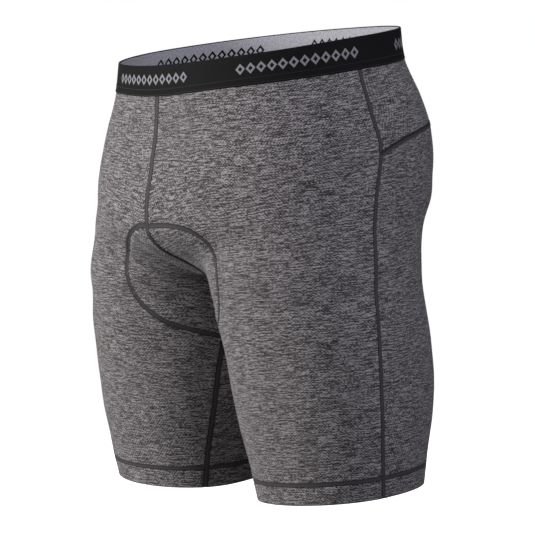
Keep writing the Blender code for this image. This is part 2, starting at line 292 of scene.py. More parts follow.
# Patterns as drawn: thread loops and woven picks, a lozenge's frame as shares of its width, and how
# far the lozenges stand over the middle of the band
THREAD_PITCH = 0.0019
PICK_WIDTH = 0.0011
PICK_LENGTH = 0.0024
FRAME_MIDDLE = 0.345
FRAME_HALF = 0.125
LOZENGE_RAISE = 0.0012

# The floor
FLOOR_HALF = 9.0
FLOOR_LEVEL = -0.62

# The camera that took the picture: 52 degrees round from the front, almost level, from 2.5 metres
CAMERA_AZIMUTH = 52.4
CAMERA_PITCH = 1.8
CAMERA_DISTANCE = 2.5
CAMERA_TARGET = (0.0, 0.0, -0.197)
CAMERA_SIDESTEP = 0.00747
CAMERA_LENS = 177.8


def linear(code):
    """Return the linear values of an sRGB hex colour."""
    shares = [int(code[at : at + 2], 16) / 255 for at in (0, 2, 4)]
    return tuple(s / 12.92 if s <= 0.04045 else ((s + 0.055) / 1.055) ** 2.4 for s in shares)


# The smooth shape of the cloth


def smooth(knots, values, place):
    """Return values at a place on a smooth curve through rows of values at rising knots."""
    slopes = np.gradient(values, knots, axis=0)
    place = np.clip(np.asarray(place, dtype=float), knots[0], knots[-1])
    below = np.clip(np.searchsorted(knots, place) - 1, 0, len(knots) - 2)
    span = (knots[below + 1] - knots[below])[..., None]
    t = (place - knots[below])[..., None] / span
    start = (2 * t**3 - 3 * t**2 + 1) * values[below]
    start_slope = (t**3 - 2 * t**2 + t) * span * slopes[below]
    end = (3 * t**2 - 2 * t**3) * values[below + 1]
    end_slope = (t**3 - t**2) * span * slopes[below + 1]
    return start + start_slope + end + end_slope


def look_up(table, level):
    """Return a table's columns at a level."""
    rows = np.array(table)[::-1]
    return smooth(rows[:, 0], rows[:, 1:], level)


def distance_to_oval(x, y, half_width, front, back, front_square=2.0, back_square=2.0):
    """Return how far a point is outside an oval, roughly, and less than zero inside it."""
    depth = np.where(y < 0, front, back)
    square = np.where(y < 0, front_square, back_square)
    from_centre = np.hypot(x, y) + 1e-9
    ratio = (np.abs(x / half_width) ** square + np.abs(y / depth) ** square + 1e-12) ** (1 / square)
    return from_centre * (1 - 1 / ratio)


def distance_to_cloth(x, y, level):
    """Return how far a point of a level's plane is outside the garment's outer surface, roughly."""
    torso = np.moveaxis(look_up(TORSO, level), -1, 0)
    centre_x, centre_y, half_width, front, back = np.moveaxis(look_up(LEG, level), -1, 0)
    to_torso = distance_to_oval(x, y, *torso) + TORSO_FADE * np.maximum(0.0, TORSO_END - level)
    nearness = np.exp(-to_torso / BLEND)
    for side in (1, -1):
        to_leg = distance_to_oval(x - side * centre_x, y - centre_y, half_width, front, back)
        nearness = nearness + np.exp(-to_leg / BLEND)
    return -BLEND * np.log(nearness)


def crossing(inside, outside, is_outside):
    """Return where is_outside turns true between two values, by halving."""
    for _ in range(ROOT_STEPS):
        middle = (inside + outside) / 2
        out = is_outside(middle)
        inside, outside = np.where(out, inside, middle), np.where(out, middle, outside)
    return (inside + outside) / 2


def find_crotch():
    """Return the fore-and-aft place and the level of the lowest point between the legs."""
    across = np.linspace(-CROTCH_SEARCH, CROTCH_SEARCH, CROTCH_TRIES)
    level = crossing(
        np.array(TORSO_END + CROTCH_SEARCH),
        np.array(TORSO_END - CROTCH_SEARCH),
        lambda tried: distance_to_cloth(0.0, across, np.full_like(across, tried)).min() > 0,
    )
    place = across[distance_to_cloth(0.0, across, np.full_like(across, level)).argmin()]
    return float(place), float(level)


CROTCH_Y, CROTCH_LEVEL = find_crotch()


def middle_edge(level, way):
    """Return y where the cloth meets the middle seam, in front (way -1) or behind (way 1)."""
    beside = SEAM_GAP / 2
    reach = crossing(
        np.zeros(np.shape(level)),
        np.full(np.shape(level), MIDDLE_SEARCH),
        lambda tried: distance_to_cloth(beside, CROTCH_Y + way * tried, level) > 0,
    )
    return CROTCH_Y + way * reach


def inseam_angle(level):
    """Return the inseam's angle round the leg's centre at levels below the crotch."""
    crotch_centre = look_up(LEG, CROTCH_LEVEL)
    at_crotch = np.arctan2(crotch_centre[1] - CROTCH_Y, crotch_centre[0])
    way_down = np.clip((CROTCH_LEVEL - level) / (CROTCH_LEVEL - HEM_LEVEL), 0, 1)
    return at_crotch + (np.radians(INSEAM_FORWARD_AT_HEM) - at_crotch) * way_down**INSEAM_BEND


def side_angle(level):
    """Return the side seam's angle round the leg's centre."""
    return np.pi - np.radians(look_up(SIDE_SEAM, level)[..., 0])


def seam_angles(level):
    """Return the angles of a half's front edge, side seam and back edge round the leg's centre.

    Angle 0 looks straight in to the middle, 90 degrees to the front and 180 degrees outwards. Above
    the crotch the front and back edges lie on the middle seam. Below it both lie on the inseam.
    """
    level = np.asarray(level, dtype=float)
    centre_x, centre_y = np.moveaxis(look_up(LEG, level)[..., :2], -1, 0)
    from_centre = centre_x - SEAM_GAP / 2
    front_middle = np.arctan2(centre_y - middle_edge(level, -1), from_centre)
    back_middle = 2 * np.pi - np.arctan2(middle_edge(level, 1) - centre_y, from_centre)
    inseam = inseam_angle(level)
    half_gap = SEAM_GAP / 2 / look_up(LEG, level)[..., 2]
    above = level > CROTCH_LEVEL + 1e-6
    front = np.where(above, front_middle, inseam + half_gap)
    back = np.where(above, back_middle, inseam + 2 * np.pi - half_gap)
    return front, side_angle(level), back


def height(x, y, level):
    """Return z of a point of the left half, given by its place on a level's tilted plane."""
    to_back, outwards = np.moveaxis(look_up(TILT, level), -1, 0)
    depth, reach = np.moveaxis(look_up(DIP, level), -1, 0)
    forward = np.clip(-y / DIP_FADE, 0, 1)
    dip = depth * np.exp(-((x / reach) ** 2)) * forward**2 * (3 - 2 * forward)
    return level + to_back * y + outwards * (x - look_up(LEG, level)[..., 0]) - dip


def slope(function, values, index):
    """Return the slope of a function of x, y and level along one of the three."""
    step = np.zeros(3)
    step[index] = SLOPE_STEP
    after = function(*(value + add for value, add in zip(values, step)))
    before = function(*(value - add for value, add in zip(values, step)))
    return (after - before) / (2 * SLOPE_STEP)


def normal(x, y, level):
    """Return the outward unit normals of the cloth at points of the left half."""
    place = (x, y, level)
    cloth = [slope(distance_to_cloth, place, index) for index in range(3)]
    rise = [slope(height, place, index) for index in range(3)]
    up = cloth[2] / rise[2]
    direction = np.stack([cloth[0] - up * rise[0], cloth[1] - up * rise[1], up], axis=-1)
    return direction / np.linalg.norm(direction, axis=-1, keepdims=True)


def surface(angle, level):
    """Return points of the left half's outer surface and their outward normals."""
    angle, level = np.broadcast_arrays(np.asarray(angle, float), np.asarray(level, float))
    centre_x, centre_y = np.moveaxis(look_up(LEG, level)[..., :2], -1, 0)
    way_x, way_y = -np.cos(angle), -np.sin(angle)
    to_middle = (centre_x - SEAM_GAP / 2) / np.maximum(-way_x, 1e-6)
    reach = crossing(
        np.zeros(angle.shape),
        np.minimum(LEG_SEARCH, to_middle),
        lambda tried: distance_to_cloth(centre_x + way_x * tried, centre_y + way_y * tried, level) > 0,
    )
    x, y = centre_x + way_x * reach, centre_y + way_y * reach
    return np.stack([x, y, height(x, y, level)], axis=-1), normal(x, y, level)


def yoke_level(share):
    """Return the level of the yoke seam at a share of the way from the side seam to the back."""
    rise = 1 - (1 - share) ** YOKE_BEND
    return YOKE_LEVEL_AT_SIDE + (YOKE_LEVEL_AT_BACK - YOKE_LEVEL_AT_SIDE) * rise


def front_half(level, share):
    """Return points and normals of the front, from the middle or inseam to the side seam."""
    edge, side, _ = seam_angles(level)
    side = side - SEAM_GAP / 2 / look_up(LEG, level)[..., 2]
    spread = np.radians(look_up(SPREAD, level)[..., 0])
    angle = side + (spread - side) * (1 - share) + (edge - spread) * (1 - share) ** EDGE_FADE
    return surface(angle, level)


def back_half(level, share):
    """Return points and normals of the back, from the side seam to the middle or inseam."""
    _, side, edge = seam_angles(level)
    side = side + SEAM_GAP / 2 / look_up(LEG, level)[..., 2]
    spread = np.radians(look_up(SPREAD, level)[..., 1])
    angle = side + (spread - side) * share + (edge - spread) * share**EDGE_FADE
    return surface(angle, level)


def arc_length(points, axis=0):
    """Return the distance along rows of points from the first of them."""
    steps = np.linalg.norm(np.diff(points, axis=axis), axis=-1)
    first = np.zeros_like(np.take(steps, [0], axis=axis))
    return np.cumsum(np.concatenate([first, steps], axis=axis), axis=axis)


def ease(value):
    """Return a smooth step from 0 to 1."""
    value = np.clip(value, 0, 1)
    return value * value * (3 - 2 * value)


# The lines that are sewn. Each is a row of points on the cloth, with normals and distance along it.

SewnLine = namedtuple("SewnLine", "points normals along closed")


def evenly(points, normals, step, closed=False):
    """Return a sewn line with even steps, through rough points on the cloth."""
    if closed:
        points = np.concatenate([points, points[:1]])
        normals = np.concatenate([normals, normals[:1]])
    rough = arc_length(points)
    count = int(round(rough[-1] / step))
    along = np.linspace(0, rough[-1], count + 1)
    if closed:
        along = along[:-1]
    points = np.stack([np.interp(along, rough, points[:, axis]) for axis in range(3)], axis=-1)
    normals = np.stack([np.interp(along, rough, normals[:, axis]) for axis in range(3)], axis=-1)
    normals /= np.linalg.norm(normals, axis=-1, keepdims=True)
    return SewnLine(points, normals, along, closed)


def mirrored(line):
    """Return a line's mirror image on the wearer's right."""
    return line._replace(points=line.points * (-1, 1, 1), normals=line.normals * (-1, 1, 1))


def middle_points(level, way):
    """Return points and normals on the middle plane, in front (way -1) or behind (way 1)."""
    y = middle_edge(level, way)
    x = np.zeros_like(y)
    normals = normal(x, y, level)
    normals[:, 0] = 0.0
    return np.stack([x, y, height(x, y, level)], axis=-1), normals


def pad_half(rows):
    """Return points and normals of half of the pad's outline, through rows of angles and levels."""
    steps = np.hypot(np.diff(rows[:, 0]) * PAD_DEGREE, np.diff(rows[:, 1]))
    knots = np.concatenate([[0], np.cumsum(steps)])
    angle, level = smooth(knots, rows, np.linspace(0, knots[-1], PAD_POINTS)).T
    angle = np.radians(angle)
    fade = np.linspace(0, 1, len(angle))
    for index, way, share in ((0, -1, (1 - fade) ** PAD_TURN_IN), (-1, 1, fade**PAD_TURN_IN)):
        centre_x, centre_y = look_up(LEG, level[index])[:2]
        edge = middle_edge(level[[index]], way)[0]
        middle = np.arctan2(centre_y - edge, centre_x - SEAM_GAP / 2)
        angle += (middle - angle[index]) * share
    points, normals = surface(angle, level)
    points[[0, -1], 0] = 0.0
    normals[[0, -1], 0] = 0.0
    return points, normals


@lru_cache(maxsize=None)
def sewn_lines(step):
    """Return the sewn lines of the left half by name, and the pad's right half as its mirror image."""
    to_crotch = np.linspace(1, 0, SEAM_POINTS) ** 2
    front_level = CROTCH_LEVEL + (BAND_BOTTOM - CROTCH_LEVEL) * to_crotch
    back_level = CROTCH_LEVEL + (YOKE_LEVEL_AT_BACK - CROTCH_LEVEL) * to_crotch[::-1]
    front = middle_points(front_level, -1)
    back = middle_points(back_level, 1)
    middle = [np.concatenate([start, end[1:]]) for start, end in zip(front, back)]

    level = np.linspace(BAND_BOTTOM, HEM_LEVEL, SIDE_POINTS)
    side = surface(side_angle(level), level)

    way_down = np.linspace(0, 1, SEAM_POINTS) ** INSEAM_CROWDING
    level = CROTCH_LEVEL - INSEAM_START + (HEM_LEVEL - CROTCH_LEVEL) * way_down
    inseam = surface(inseam_angle(level), level)

    share = np.linspace(0, 1, SEAM_POINTS)
    yoke = back_half(yoke_level(share), share)
    for part in yoke:
        part[-1, 0] = 0.0

    outline = np.array(PAD_OUTLINE)
    turn = np.linspace(0, 2 * np.pi, HEM_POINTS, endpoint=False)
    hem = surface(turn, np.full_like(turn, HEM_LEVEL + bpy.context.scene.shorts_sizes.hem_height))
    return {
        "middle": evenly(*middle, step),
        "side": evenly(*side, step),
        "inseam": evenly(*inseam, step),
        "yoke": evenly(*yoke, step),
        "pad": evenly(*pad_half(outline[:, :2]), step),
        "pad_right": evenly(*pad_half(outline[:, 2:]), step),
        "hem": evenly(*hem, step, closed=True),
    }


def joined_to_mirror(line, right_line, closed):
    """Return a line of the left half joined at the middle plane to the mirror image of the other."""
    other = mirrored(right_line)
    last = -1 if closed else None
    points = np.concatenate([line.points, other.points[::-1][1:last]])
    normals = np.concatenate([line.normals, other.normals[::-1][1:last]])
    step = line.along[1] - line.along[0]
    return evenly(points, normals, step, closed)


# How sewing, pad and strain move the cloth off its smooth surface


@lru_cache(maxsize=None)
def tree_of(names):
    """Return a search tree over sewn lines of the left half, and their joined rows."""
    lines = [sewn_lines(RELIEF_STEP)[name] for name in names]
    points = np.concatenate([line.points for line in lines])
    along = np.concatenate([line.along + LINE_SHIFT * index for index, line in enumerate(lines)])
    outward = np.concatenate([outward_of(line) for line in lines])
    tree = KDTree(len(points))
    for index, point in enumerate(points):
        tree.insert(point, index)
    tree.balance()
    return tree, points, along, outward


def outward_of(line):
    """Return the directions on the cloth square to a line, to the left of the way that it runs."""
    forward = np.gradient(line.points, axis=0)
    aside = np.cross(line.normals, forward)
    return aside / np.linalg.norm(aside, axis=-1, keepdims=True)


def nearest(names, points):
    """Return distance, distance along the line and signed distance aside, to the nearest sewn line."""
    tree, line_points, line_along, outward = tree_of(names)
    found = [tree.find(point) for point in points]
    index = np.array([item[1] for item in found], dtype=int)
    distance = np.array([item[2] for item in found])
    aside = np.einsum("ij,ij->i", points - line_points[index], outward[index])
    return distance, line_along[index], aside


def relief(points):
    """Return how far the cloth stands off its smooth surface at points."""
    flat = points.reshape(-1, 3)
    left = np.abs(flat[:, :1]) * (1, 0, 0) + flat * (0, 1, 1)
    distance, along, to_pad, aside = np.zeros((4, len(flat)))
    for pad, here in (("pad", flat[:, 0] >= 0), ("pad_right", flat[:, 0] < 0)):
        names = ("middle", "side", "inseam", "yoke", "hem", pad)
        distance[here], along[here], _ = nearest(names, left[here])
        to_pad[here], _, aside[here] = nearest((pad,), left[here])
    drift = PUCKER_DRIFT * np.sin(2 * np.pi * along / PUCKER_DRIFT_LENGTH)
    ruffle = PUCKER_HEIGHT * np.sin(2 * np.pi * along / PUCKER_LENGTH + drift)
    ruffle = ruffle * np.exp(-((distance / PUCKER_REACH) ** 2)) * ease(distance / PUCKER_START)
    swell = SWELL_HEIGHT * np.exp(-(((distance - SWELL_PLACE) / SWELL_REACH) ** 2))
    sink = -SEAM_SINK * np.exp(-((distance / SINK_REACH) ** 2))

    # The pad lies on the side of its outline that faces the crotch
    pad = PAD_LIFT * ease(-aside / PAD_EDGE) * ease((PAD_REACH - to_pad) / PAD_FADE)

    x, y, z = flat.T
    from_crotch = np.sqrt(x**2 + (y - CROTCH_Y) ** 2 + (z - CROTCH_LEVEL) ** 2)
    way = np.arctan2(z - CROTCH_LEVEL, np.abs(x) + RAY_CENTRE)
    rays = np.sin(RAY_TURNS[0] * way + RAY_TURNS[1] * y + RAY_TURNS[2] * x)
    rays = rays * np.exp(-(((from_crotch - RAY_PLACE) / RAY_REACH) ** 2))
    drift = DRAPE_DRIFT * np.sin(DRAPE_DRIFT_TURNS[0] * x + DRAPE_DRIFT_TURNS[1] * y)
    height_on_slant = z + DRAPE_SLANT[0] * x - DRAPE_SLANT[1] * y
    drape = np.sin(2 * np.pi * height_on_slant / DRAPE_LENGTH + drift)
    drape = drape * ease((from_crotch - DRAPE_START) / DRAPE_FADE)
    pull = PULL_HEIGHT * (RAY_SHARE * rays + DRAPE_SHARE * drape)
    return (ruffle + swell + sink + pad + pull).reshape(points.shape[:-1])


def on_cloth(points, normals, lift=0.0):
    """Return points moved onto the sewn and strained cloth, and then lifted off it."""
    return points + normals * (relief(points)[..., None] + np.asarray(lift)[..., None])


# Meshes


def mesh_object(name, points, faces, materials, map_name, map_points, face_materials=None):
    """Return a smooth object with one texture map, whose places are given for each vertex."""
    mesh = bpy.data.meshes.new(name)
    mesh.from_pydata(points.reshape(-1, 3).tolist(), [], faces)
    places = map_points.reshape(-1, 2)
    corner = np.zeros(len(mesh.loops), dtype=np.int32)
    mesh.loops.foreach_get("vertex_index", corner)
    layer = mesh.uv_layers.new(name=map_name)
    layer.data.foreach_set("uv", places[corner].astype(np.float32).ravel())
    for material in materials:
        mesh.materials.append(material)
    if face_materials is not None:
        mesh.polygons.foreach_set("material_index", np.asarray(face_materials, dtype=np.int32))
    mesh.shade_smooth()
    mesh.update()
    piece = bpy.data.objects.new(name, mesh)
    bpy.context.scene.collection.objects.link(piece)
    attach(piece, "root")
    return piece


def grid_faces(rows, columns, wrap_rows=False, wrap_columns=False):
    """Return the four-sided faces of a grid of points, whose rows or columns may close on themselves."""
    row = np.arange(rows if wrap_rows else rows - 1)[:, None]
    column = np.arange(columns if wrap_columns else columns - 1)[None, :]
    below, beside = (row + 1) % rows, (column + 1) % columns
    corners = (
        row * columns + column, below * columns + column, below * columns + beside, row * columns + beside
    )
    return np.stack(corners, axis=-1).reshape(-1, 4)


def spread_shares(count):
    """Return shares from 0 to 1, closer together at both ends, where the cloth is sewn."""
    even = np.linspace(0, 1, count)
    return even - EDGE_CROWDING * np.sin(2 * np.pi * even)


def cloth_map(points, level, side, droops):
    """Return each point's place on the knitted cloth: along its courses and across them, in metres.

    The courses follow the levels. On the fronts they droop towards the middle seam at the height of
    the crotch, as strained jersey does.
    """
    along = arc_length(points, axis=1)
    droop = DROOP * np.exp(-along / DROOP_REACH)
    droop = droop * ease((DROOP_TOP - level) / DROOP_TOP_FADE)
    droop = droop * ease((level - DROOP_END) / DROOP_END_FADE)
    along = side * (along - along[:, -1:]) + (LEFT_CLOTH if side > 0 else RIGHT_CLOTH)
    return np.stack([along, -level - droops * droop], axis=-1)


def make_panel(name, outer, normals, level, thickness, side, material, droops=False):
    """Return a panel of cloth with an outside, a rounded lower edge, an inside and closed cut edges.

    A grid's rows go down and its columns go from the front to the back on the left half. Side -1 makes
    the wearer's right panel.
    """
    places = cloth_map(outer, level, side, droops)
    outer = outer * (side, 1, 1)
    normals = normals * (side, 1, 1)
    outer = on_cloth(outer, normals)
    inner = outer - normals * thickness[..., None]

    down = outer[-1] - outer[-2]
    down /= np.linalg.norm(down, axis=-1, keepdims=True)
    middle = (outer[-1] + inner[-1]) / 2
    radius = thickness[-1][:, None] / 2
    turns = np.linspace(0, np.pi, FOLD_ROWS + 2)[1:-1]
    fold = [middle + radius * (normals[-1] * np.cos(turn) + down * np.sin(turn)) for turn in turns]
    fold_places = [places[-1] + (0, FOLD_RADIUS * turn) for turn in turns]

    points = np.concatenate([outer, fold, inner[::-1]])
    map_points = np.concatenate([places, fold_places, places[::-1]])
    rows, columns = points.shape[:2]
    faces = grid_faces(rows, columns)

    outside = np.arange(outer.shape[0] - 1 + FOLD_ROWS // 2)
    inside = rows - 1 - outside
    start = [outside * columns, inside * columns, (inside - 1) * columns, (outside + 1) * columns]
    start = np.stack(start, axis=-1)
    end = start[:, [0, 3, 2, 1]] + columns - 1
    across = np.arange(columns - 1)
    last = (rows - 1) * columns
    top = np.stack([across, across + 1, last + across + 1, last + across], axis=-1)
    faces = np.concatenate([faces, start, end, top])
    if side < 0:
        faces = faces[:, ::-1]
    return mesh_object(name, points, faces.tolist(), [material], CLOTH_MAP, map_points)


def crowded_levels(top, count):
    """Return levels from a top level down to the crotch, closer together near the crotch."""
    share = np.linspace(1, 0, count + 1) ** ROW_CROWDING
    return CROTCH_LEVEL + (np.asarray(top) - CROTCH_LEVEL) * share[:, None]


def leg_levels(hem_height):
    """Return levels from just below the crotch to the hem, with a step where the hem ends inside."""
    fold = HEM_LEVEL + hem_height
    share = np.linspace(0, 1, ROWS_BELOW_CROTCH + 1)[1:] ** ROW_CROWDING
    rows = CROTCH_LEVEL + (fold + LEG_END_ROW - CROTCH_LEVEL) * share
    hem = np.linspace(fold + DOUBLE_ROW, HEM_LEVEL, HEM_ROWS)
    return np.concatenate([rows, [fold + SINGLE_ROW], hem])[:, None]


def wall_thickness(level, sizes):
    """Return the cloth's thickness at each level: the hem is turned up inside and is double."""
    in_hem = level < HEM_LEVEL + sizes.hem_height + (SINGLE_ROW + DOUBLE_ROW) / 2
    return np.where(in_hem, sizes.hem_thickness, sizes.cloth_thickness)


def make_ribbon(name, line, look, material, inside=0.0, lift=0.0, relieved=True):
    """Return a row of machine sewing as a low raised ribbon that lies on the cloth along a line.

    Inside is the cloth's thickness where the ribbon lies on the inside, and 0 on the outside. Lift
    raises it off the cloth, and a ribbon that isn't relieved lies on the smooth surface.
    """
    across = np.linspace(-1, 1, look.points)
    forward = np.gradient(line.points, axis=0)
    if line.closed:
        forward = (np.roll(line.points, -1, axis=0) - np.roll(line.points, 1, axis=0)) / 2
    forward /= np.linalg.norm(forward, axis=-1, keepdims=True)
    aside = np.cross(line.normals, forward)
    centre = on_cloth(line.points, line.normals, lift) if relieved else line.points + line.normals * lift
    way = line.normals
    if inside:
        centre = centre - line.normals * inside
        way = -line.normals

    stitch = 2 * np.pi * line.along[:, None] / look.stitch
    toothed = np.abs(across) > TOOTHED_FROM
    tooth = 1 + look.tooth * np.sign(np.sin(stitch + np.pi * (across > 0))) * toothed
    ridges = np.cos(np.pi * look.ridges * (across + 1)) * -0.5 + 0.5
    swing = np.cos(stitch + np.pi * np.round((across + 1) * look.ridges))
    loops = 1 - LOOP_DEPTH + LOOP_DEPTH * swing
    rise = look.height * (1 - RIDGE_DEPTH + RIDGE_DEPTH * ridges * loops)
    rise = np.where(np.abs(across) == 1, -RIBBON_ROOT, rise)
    spread = look.width / 2 * across * tooth
    top = centre[:, None] + aside[:, None] * spread[..., None] + way[:, None] * rise[..., None]

    across_map = np.broadcast_to(across, rise.shape)
    along_map = np.broadcast_to(line.along[:, None], rise.shape)
    map_points = np.stack([along_map, across_map], axis=-1)
    rows, columns = top.shape[:2]
    faces = grid_faces(rows, columns, wrap_rows=line.closed, wrap_columns=True)
    if inside:
        faces = faces[:, ::-1]
    faces = faces.tolist()
    if not line.closed:
        first = list(range(columns))
        last = [(rows - 1) * columns + column for column in range(columns)]
        faces += [first[::-1], last] if inside else [first, last[::-1]]
    return mesh_object(name, top, faces, [material], THREAD_MAP, map_points)


# Materials


def add_node(tree, kind, inputs, **settings):
    """Return a new shader node with its settings, and its inputs set to values or linked.

    An input takes a value, another node's output, or another node, which stands for its first output.
    """
    node = tree.nodes.new(f"ShaderNode{kind}")
    for name, value in settings.items():
        setattr(node, name, value)
    for name, value in inputs.items():
        if isinstance(value, bpy.types.Node):
            value = value.outputs[0]
        if isinstance(value, bpy.types.NodeSocket):
            tree.links.new(value, node.inputs[name])
        else:
            node.inputs[name].default_value = value
    return node


def new_material(name):
    """Return an empty material, its node tree and the socket that takes its surface."""
    material = bpy.data.materials.new(name)
    material.use_nodes = True
    tree = material.node_tree
    tree.nodes.clear()
    output = add_node(tree, "OutputMaterial", {})
    return material, tree, output.inputs["Surface"]


def colour_stops(ramp, stops):
    """Give a colour ramp its stops, as places and linear colours."""
    elements = ramp.color_ramp.elements
    elements[0].position, elements[0].color = stops[0][0], (*stops[0][1][:3], 1)
    elements[1].position, elements[1].color = stops[-1][0], (*stops[-1][1][:3], 1)
    for place, colour in stops[1:-1]:
        elements.new(place).color = (*colour[:3], 1)


@lru_cache(maxsize=None)
def jersey_material():
    """Heather merino and nylon jersey, circular knitted in fine single jersey.

    To the eye it is a soft grey with short dark and pale streaks along its courses, where dark and
    light fibres were carded together, and a grain of small stitches. It has no gloss, and a little
    down on its surface that lights up at grazing angles.
    """
    colours = bpy.context.scene.shorts_colours
    sizes = bpy.context.scene.shorts_sizes
    material, tree, surface_socket = new_material("heather_jersey_knitted")
    place = add_node(tree, "UVMap", {}, uv_map=CLOTH_MAP)

    # The cloth's own small drift, so that courses and streaks aren't ruled lines
    drift = add_node(
        tree, "TexNoise", {"Vector": place, "Scale": 30.0, "Detail": 1.0}, noise_dimensions="2D"
    )
    centred = add_node(
        tree, "VectorMath", {0: drift.outputs["Color"], 1: (0.5, 0.5, 0.5)}, operation="SUBTRACT"
    )
    moved = add_node(
        tree, "VectorMath", {0: centred, 1: (0.006, 0.003, 0.0), 2: place}, operation="MULTIPLY_ADD"
    )

    # Streaks of dark and light fibre along the courses. Real ones are a course of 0.6 mm thick, which
    # is too fine for the picture, so they are drawn 1.0 to 1.2 mm thick. The last row is a broad
    # drift of shade. Each has a length, a thickness, a finer detail and a share in the yarn's shade.
    streaks = (
        (sizes.streak_length, 0.00100, 1.0, 0.34),
        (sizes.streak_length / 3, 0.00100, 1.0, 0.32),
        (0.0020, 0.00115, 0.0, 0.28),
        (0.0500, 0.00900, 2.0, 0.06),
    )
    light = None
    for length, thickness, detail, share in streaks:
        scaled = add_node(
            tree, "VectorMath", {0: moved, 1: (1 / length, 1 / thickness, 1.0)}, operation="MULTIPLY"
        )
        noise = add_node(
            tree,
            "TexNoise",
            {"Vector": scaled, "Scale": 1.0, "Detail": detail, "Roughness": 0.6},
            noise_dimensions="2D",
        )
        spread = add_node(tree, "MapRange", {"Value": noise, "From Min": 0.3, "From Max": 0.7})
        before = light or 0.0
        light = add_node(tree, "Math", {0: spread, 1: share, 2: before}, operation="MULTIPLY_ADD")

    # Stitches, where pale loops and dark gaps take turns along and across the courses. Real loops are
    # 0.7 mm apart, and are drawn 2.9 mm apart.
    loops = []
    turn = 2 * np.pi / sizes.stitch_pitch
    for way in ((turn, 0.0, 0.0), (0.0, turn * 1.08, 0.0)):
        phase = add_node(tree, "VectorMath", {0: moved, 1: way}, operation="DOT_PRODUCT")
        loops.append(add_node(tree, "Math", {0: phase.outputs["Value"]}, operation="SINE"))
    lattice = add_node(tree, "Math", {0: loops[0], 1: loops[1]}, operation="MULTIPLY")

    light = add_node(tree, "Math", {0: lattice, 1: 0.15, 2: light}, operation="MULTIPLY_ADD")
    yarn = add_node(tree, "ValToRGB", {"Fac": light})
    shades = (colours.jersey_dark, colours.jersey_middle, colours.jersey_light)
    colour_stops(yarn, tuple(zip((0.27, 0.50, 0.74), shades)))
    bump = add_node(tree, "Bump", {"Height": light, "Strength": 0.3, "Distance": 0.0004})
    shader = add_node(
        tree,
        "BsdfPrincipled",
        {
            "Base Color": yarn,
            "Normal": bump,
            "Roughness": 0.92,
            "Specular IOR Level": 0.25,
            "Sheen Weight": 0.18,
            "Sheen Roughness": 0.5,
        },
    )
    tree.links.new(shader.outputs["BSDF"], surface_socket)
    return material


@lru_cache(maxsize=None)
def thread_material(shade="thread_light", shadow_lean=0.0):
    """Textured polyester thread, in flatlock and cover stitches, or the waistband's black thread.

    To the eye a seam is a charcoal cord with a close slanting grain of thread loops. Painted shade
    darkens both edges, where the stitches pull into the jersey, so that its middle is a little paler.
    Leaning moves the pale middle to one side, so that the other edge shows a broader line of painted
    shadow.
    """
    colours = bpy.context.scene.shorts_colours
    material, tree, surface_socket = new_material(f"polyester_{shade}_flatlocked")
    place = add_node(tree, "UVMap", {}, uv_map=THREAD_MAP)
    apart = add_node(tree, "SeparateXYZ", {"Vector": place})

    # Slanting loops. Real ones are 0.8 mm apart, and are drawn 1.9 mm apart. Their fuzz is 1.4 mm long.
    slant = add_node(
        tree, "VectorMath", {0: place, 1: (2 * np.pi / THREAD_PITCH, 4.0, 0.0)}, operation="DOT_PRODUCT"
    )
    loops = add_node(tree, "Math", {0: slant.outputs["Value"]}, operation="SINE")
    fuzz = add_node(tree, "VectorMath", {0: place, 1: (700.0, 3.0, 1.0)}, operation="MULTIPLY")
    noise = add_node(
        tree, "TexNoise", {"Vector": fuzz, "Scale": 1.0, "Detail": 2.0}, noise_dimensions="2D"
    )
    # Painted shade: the colour darkens towards both edges of the seam, where the stitches pull into the
    # jersey, and the lean shifts the pale middle off one edge
    leaning = add_node(tree, "Math", {0: apart.outputs["Y"], 1: shadow_lean}, operation="ADD")
    aside = add_node(tree, "Math", {0: leaning}, operation="ABSOLUTE")
    middle = add_node(
        tree,
        "MapRange",
        {"Value": aside, "From Min": 0.25, "From Max": 0.85, "To Min": 0.75, "To Max": 0.05},
        interpolation_type="SMOOTHSTEP",
    )
    looped = add_node(tree, "Math", {0: loops, 1: 0.12, 2: middle}, operation="MULTIPLY_ADD")
    mixed = add_node(tree, "Math", {0: noise, 1: 0.35, 2: looped}, operation="MULTIPLY_ADD")
    shades = add_node(tree, "ValToRGB", {"Fac": mixed})
    colour_stops(shades, ((0.1, colours.thread_painted_shade), (0.95, getattr(colours, shade))))
    bump = add_node(tree, "Bump", {"Height": looped, "Strength": 0.5, "Distance": 0.0004})
    shader = add_node(
        tree,
        "BsdfPrincipled",
        {
            "Base Color": shades,
            "Normal": bump,
            "Roughness": 0.7,
            "Specular IOR Level": 0.3,
            "Sheen Weight": 0.05,
            "Sheen Roughness": 0.5,
        },
    )
    tree.links.new(shader.outputs["BSDF"], surface_socket)
    return material


